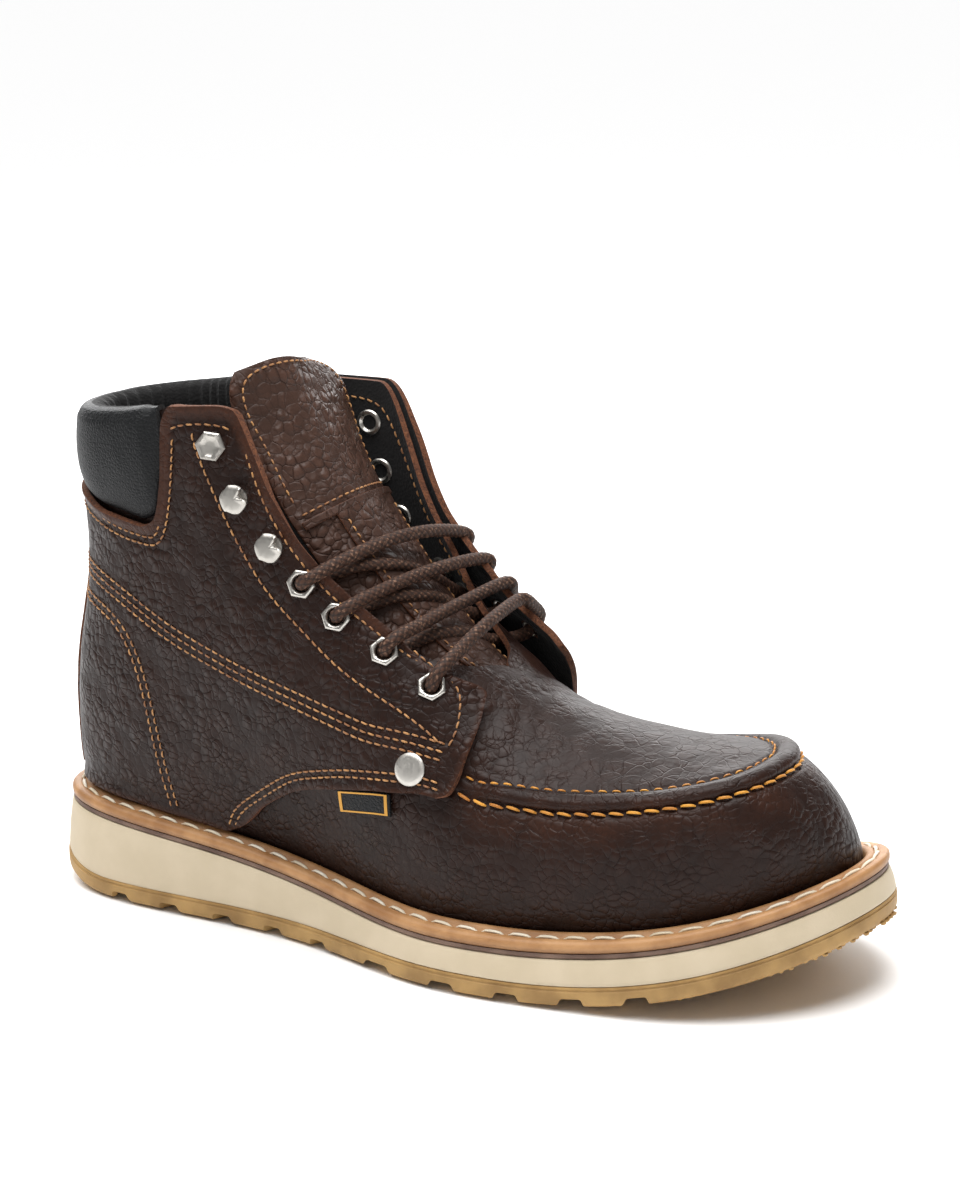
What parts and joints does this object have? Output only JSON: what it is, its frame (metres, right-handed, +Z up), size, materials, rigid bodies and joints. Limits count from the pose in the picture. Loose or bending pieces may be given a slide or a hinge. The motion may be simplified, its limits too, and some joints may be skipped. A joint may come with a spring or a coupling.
{
  "type": "moc toe work boot",
  "caption": "Right ankle-high lace-up work boot in brown leather with a stitched moc toe, padded black collar, tan welt and a wedge sole with zigzag lugs.",
  "frame": {"origin": "on the floor under the middle of the boot's box", "axes": "+X to the toe, +Y to the inner (medial) side, +Z up"},
  "size_m": [0.302, 0.113, 0.188],
  "materials": {
    "pull_up_leather": "pebbled, satin",
    "collar_leather": "smooth, satin",
    "nickel": "satin nickel",
    "lining": "matt",
    "lace_cord": "braided",
    "cream_midsole": "matt foam rubber",
    "gum_rubber": "matt gum",
    "slip_board": "matt",
    "welt_leather": "satin"
  },
  "bodies": {
    "root": {"backstay": "pull_up_leather", "collar": "collar_leather", "eyelet_lateral_1": "nickel", "eyelet_lateral_2": "nickel", "eyelet_lateral_3": "nickel", "eyelet_lateral_4": "nickel", "eyelet_medial_1": "nickel", "eyelet_medial_2": "nickel", "eyelet_medial_3": "nickel", "eyelet_medial_4": "nickel", "hook_lateral_1": "nickel", "hook_lateral_2": "nickel", "hook_lateral_3": "nickel", "hook_medial_1": "nickel", "hook_medial_2": "nickel", "hook_medial_3": "nickel", "insole": "lining", "lace_bar_1": "lace_cord", "lace_bar_2": "lace_cord", "lace_bar_3": "lace_cord", "lace_bar_4": "lace_cord", "midsole": "cream_midsole", "outsole": "gum_rubber", "quarter_lateral": "pull_up_leather", "quarter_medial": "pull_up_leather", "rivet_lateral": "nickel", "rivet_medial": "nickel", "side_tag": "collar_leather", "slip_layer": "slip_board", "tongue": "pull_up_leather", "upper": "pull_up_leather", "welt": "welt_leather"}
  },
  "joints": []
}
